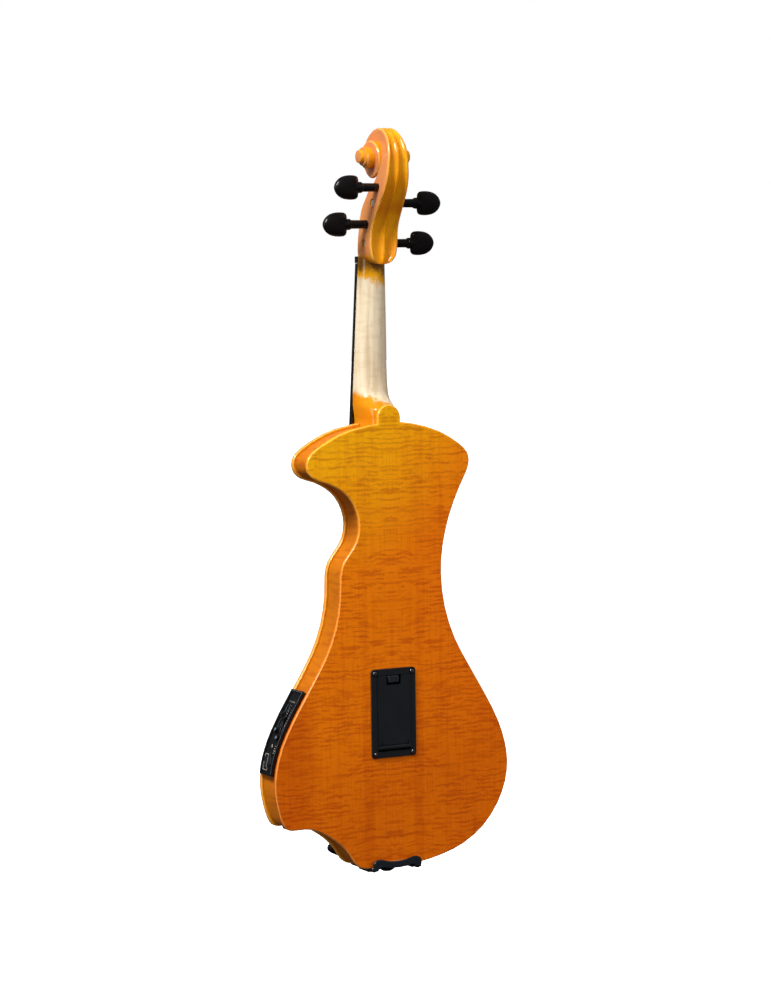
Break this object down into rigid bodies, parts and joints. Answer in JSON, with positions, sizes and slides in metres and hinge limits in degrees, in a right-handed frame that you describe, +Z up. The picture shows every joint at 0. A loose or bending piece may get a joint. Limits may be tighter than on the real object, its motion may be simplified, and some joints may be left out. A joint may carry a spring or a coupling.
{
  "type": "electric violin",
  "caption": "Thin flat-backed electric violin with a deep cutaway by the neck, carved scroll with pegs, chin rest, fine tuners, battery box in the back and a preamp in its side.",
  "frame": {"origin": "in the middle of the neck just below the pegbox, where a hanger fork holds it under the scroll", "axes": "+X towards the treble side, +Y towards the back of the body, +Z up along the strings towards the scroll"},
  "size_m": [0.2126, 0.0813, 0.594],
  "materials": {
    "varnished_maple": "gloss varnish over flamed maple",
    "front_wood": "gloss varnish",
    "rib_maple": "satin varnish",
    "inner_wood": "bare wood",
    "neck_maple": "oiled maple with a varnished scroll",
    "ebony": "polished",
    "bridge_maple": "bare wood",
    "black_gloss": "polished",
    "black_matte": "fine texture",
    "cork": "cork",
    "black_steel": "black nickel",
    "nickel": "nickel plated",
    "string_steel": "wound and plain steel",
    "lead": "smooth",
    "circuit": "solder mask",
    "window": "clear over dark display",
    "cell": "painted can"
  },
  "bodies": {
    "body": {"fingerboard": "ebony", "nut": "ebony", "back_plate": "varnished_maple", "top_plate": "front_wood", "ribs": "rib_maple", "neck_block": "inner_wood", "end_block": "inner_wood", "neck": "neck_maple", "bridge": "bridge_maple", "bridge_pickup": "black_matte", "tailpiece": "black_gloss", "string_g": "string_steel", "string_d": "string_steel", "string_a": "string_steel", "string_e": "string_steel", "saddle": "ebony", "end_button": "black_gloss", "tail_gut": "lead", "chin_rest": "black_gloss", "chin_rest_cork_treble": "cork", "chin_rest_cork_bass": "cork", "clamp_upper_bracket": "black_steel", "battery_box": "black_matte", "battery": "cell", "battery_snap": "black_matte", "cover_screw_upper_treble": "black_steel", "cover_screw_upper_bass": "black_steel", "cover_screw_lower_treble": "black_steel", "cover_screw_lower_bass": "black_steel", "preamp_panel": "black_matte", "preamp_board": "circuit", "display_window": "window", "output_jack": "black_matte", "jack_flange": "black_steel", "jack_nut": "nickel", "pickup_lead": "lead", "battery_lead": "lead", "jack_lead": "lead"},
    "peg_g": {"peg_g": "black_gloss"},
    "tuner_screw_g": {"tuner_screw_g": "nickel"},
    "tuner_lever_g": {"tuner_lever_g": "nickel"},
    "peg_d": {"peg_d": "black_gloss"},
    "tuner_screw_d": {"tuner_screw_d": "nickel"},
    "tuner_lever_d": {"tuner_lever_d": "nickel"},
    "peg_a": {"peg_a": "black_gloss"},
    "tuner_screw_a": {"tuner_screw_a": "nickel"},
    "tuner_lever_a": {"tuner_lever_a": "nickel"},
    "peg_e": {"peg_e": "black_gloss"},
    "tuner_screw_e": {"tuner_screw_e": "nickel"},
    "tuner_lever_e": {"tuner_lever_e": "nickel"},
    "volume_slider": {"volume_slider": "black_gloss"},
    "tone_slider": {"tone_slider": "black_gloss"},
    "tuner_button": {"tuner_button": "black_gloss"},
    "phase_button": {"phase_button": "black_gloss"},
    "battery_door": {"battery_door": "black_matte"},
    "door_latch": {"door_latch": "black_matte"},
    "clamp_foot": {"clamp_foot": "black_steel", "clamp_foot_cork": "cork"},
    "clamp_barrel_treble": {"clamp_barrel_treble": "black_steel"},
    "clamp_barrel_bass": {"clamp_barrel_bass": "black_steel"}
  },
  "joints": [
    {"name": "peg_g_turn", "type": "hinge", "parent": "body", "child": "peg_g", "pos_m": [0, 0.00749, 0.01954], "axis": [-1, 0, 0], "range_deg": [-900, 180]},
    {"name": "peg_d_turn", "type": "hinge", "parent": "body", "child": "peg_d", "pos_m": [0, 0.02078, 0.05089], "axis": [-1, 0, 0], "range_deg": [-900, 180]},
    {"name": "peg_a_turn", "type": "hinge", "parent": "body", "child": "peg_a", "pos_m": [0, 0.02809, 0.06295], "axis": [-1, 0, 0], "range_deg": [-900, 180]},
    {"name": "peg_e_turn", "type": "hinge", "parent": "body", "child": "peg_e", "pos_m": [0, 0.01181, 0.03454], "axis": [-1, 0, 0], "range_deg": [-900, 180]},
    {"name": "tuner_screw_g_turn", "type": "hinge", "parent": "body", "child": "tuner_screw_g", "pos_m": [-0.0156, -0.0213, -0.39501], "axis": [0, 0.9912, 0.1323], "range_deg": [0, 1440]},
    {"name": "tuner_lever_g_tilt", "type": "hinge", "parent": "body", "child": "tuner_lever_g", "pos_m": [-0.0156, -0.02048, -0.37775], "axis": [1, 0, 0], "range_deg": [0, 8]},
    {"name": "tuner_screw_d_turn", "type": "hinge", "parent": "body", "child": "tuner_screw_d", "pos_m": [-0.0052, -0.0237, -0.39533], "axis": [0, 0.9912, 0.1323], "range_deg": [0, 1440]},
    {"name": "tuner_lever_d_tilt", "type": "hinge", "parent": "body", "child": "tuner_lever_d", "pos_m": [-0.0052, -0.02287, -0.37807], "axis": [1, 0, 0], "range_deg": [0, 8]},
    {"name": "tuner_screw_a_turn", "type": "hinge", "parent": "body", "child": "tuner_screw_a", "pos_m": [0.0052, -0.0237, -0.39533], "axis": [0, 0.9912, 0.1323], "range_deg": [0, 1440]},
    {"name": "tuner_lever_a_tilt", "type": "hinge", "parent": "body", "child": "tuner_lever_a", "pos_m": [0.0052, -0.02287, -0.37807], "axis": [1, 0, 0], "range_deg": [0, 8]},
    {"name": "tuner_screw_e_turn", "type": "hinge", "parent": "body", "child": "tuner_screw_e", "pos_m": [0.0156, -0.0213, -0.39501], "axis": [0, 0.9912, 0.1323], "range_deg": [0, 1440]},
    {"name": "tuner_lever_e_tilt", "type": "hinge", "parent": "body", "child": "tuner_lever_e", "pos_m": [0.0156, -0.02048, -0.37775], "axis": [1, 0, 0], "range_deg": [0, 8]},
    {"name": "volume_slider_slide", "type": "slide", "parent": "body", "child": "volume_slider", "axis": [-0.5077, 0, 0.8616], "range_m": [-0.006, 0.006]},
    {"name": "tone_slider_slide", "type": "slide", "parent": "body", "child": "tone_slider", "axis": [-0.496, 0, 0.8683], "range_m": [-0.006, 0.006]},
    {"name": "tuner_button_press", "type": "slide", "parent": "body", "child": "tuner_button", "axis": [-0.8911, 0, -0.4539], "range_m": [0, 0.001], "stiffness_N_per_m": 250, "springref_m": -0.0004},
    {"name": "phase_button_press", "type": "slide", "parent": "body", "child": "phase_button", "axis": [-0.907, 0, -0.4211], "range_m": [0, 0.001], "stiffness_N_per_m": 250, "springref_m": -0.0004},
    {"name": "battery_door_hinge", "type": "hinge", "parent": "body", "child": "battery_door", "pos_m": [0, 0.02267, -0.3812], "axis": [-1, 0, 0], "range_deg": [0, 110]},
    {"name": "door_latch_slide", "type": "slide", "parent": "battery_door", "child": "door_latch", "axis": [0, 0, -1], "range_m": [0, 0.0015], "stiffness_N_per_m": 250, "springref_m": -0.0004},
    {"name": "clamp_foot_slide", "type": "slide", "parent": "body", "child": "clamp_foot", "axis": [0, 1, 0], "range_m": [0, 0.003]},
    {"name": "clamp_barrel_treble_turn", "type": "hinge", "parent": "body", "child": "clamp_barrel_treble", "pos_m": [0.0196, 0.00767, -0.47964], "axis": [0, 1, 0], "range_deg": [0, 1080.01]},
    {"name": "clamp_barrel_bass_turn", "type": "hinge", "parent": "body", "child": "clamp_barrel_bass", "pos_m": [-0.0196, 0.00767, -0.47964], "axis": [0, 1, 0], "range_deg": [0, 1080.01]}
  ],
  "couplings": [
    {"joint": "tuner_lever_g_tilt", "follows": "tuner_screw_g_turn", "ratio": 0.0055556},
    {"joint": "tuner_lever_d_tilt", "follows": "tuner_screw_d_turn", "ratio": 0.0055556},
    {"joint": "tuner_lever_a_tilt", "follows": "tuner_screw_a_turn", "ratio": 0.0055556},
    {"joint": "tuner_lever_e_tilt", "follows": "tuner_screw_e_turn", "ratio": 0.0055556},
    {"joint": "clamp_barrel_treble_turn", "follows": "clamp_foot_slide", "rad_per_m": 6283.2},
    {"joint": "clamp_barrel_bass_turn", "follows": "clamp_foot_slide", "rad_per_m": 6283.2}
  ]
}
